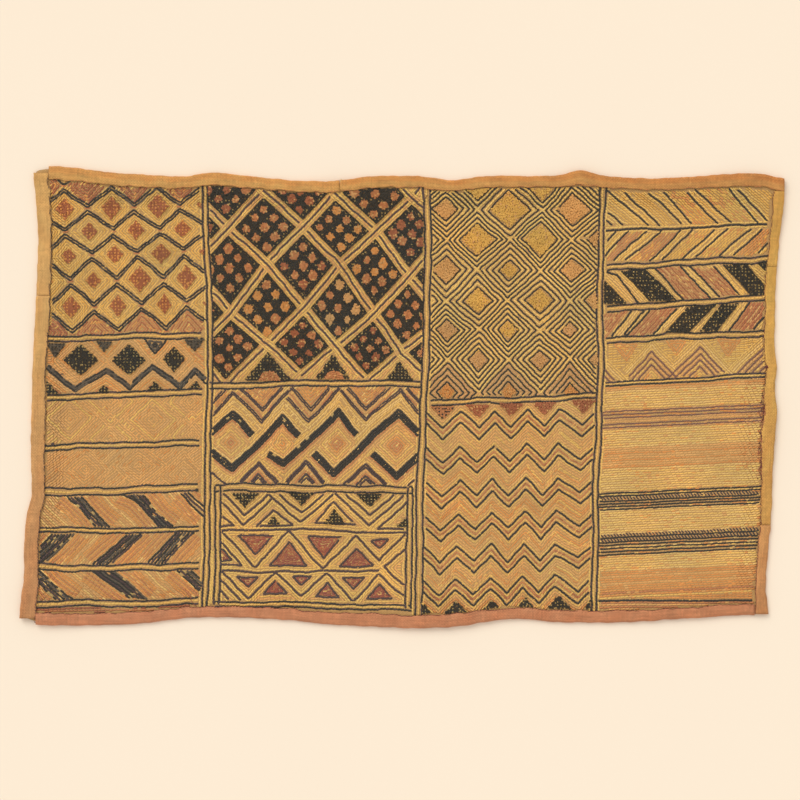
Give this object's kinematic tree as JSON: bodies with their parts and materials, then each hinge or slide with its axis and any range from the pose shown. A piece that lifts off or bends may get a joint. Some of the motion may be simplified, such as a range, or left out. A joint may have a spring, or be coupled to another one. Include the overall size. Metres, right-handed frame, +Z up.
{
  "type": "kuba raffia cloth",
  "caption": "Flat rectangular cloth of embroidered and cut-pile raffia with geometric panels, its edges bound with folded raffia strips, for laying out or hanging.",
  "frame": {"origin": "under the middle of the cloth's box, on the surface that it lies on", "axes": "+X along the cloth's long side, +Y to its other long edge, +Z up out of the embroidered face"},
  "size_m": [0.6872, 0.4144, 0.006],
  "materials": {
    "embroidered_raffia": "golden, orange-brown, red-brown and black raffia in rows of stitches and tufts of cut pile",
    "golden_binding": "plain-woven golden raffia with long streaks and a soft sheen",
    "brown_binding": "plain-woven orange-brown to red-brown raffia with long streaks"
  },
  "bodies": {
    "root": {"embroidered_panel": "embroidered_raffia", "binding_left_lower": "brown_binding", "binding_left_upper": "golden_binding", "binding_top_left": "brown_binding", "binding_top_right": "brown_binding", "binding_right_lower": "brown_binding", "binding_right_middle": "golden_binding", "binding_right_upper": "golden_binding", "binding_bottom": "brown_binding"}
  },
  "joints": []
}
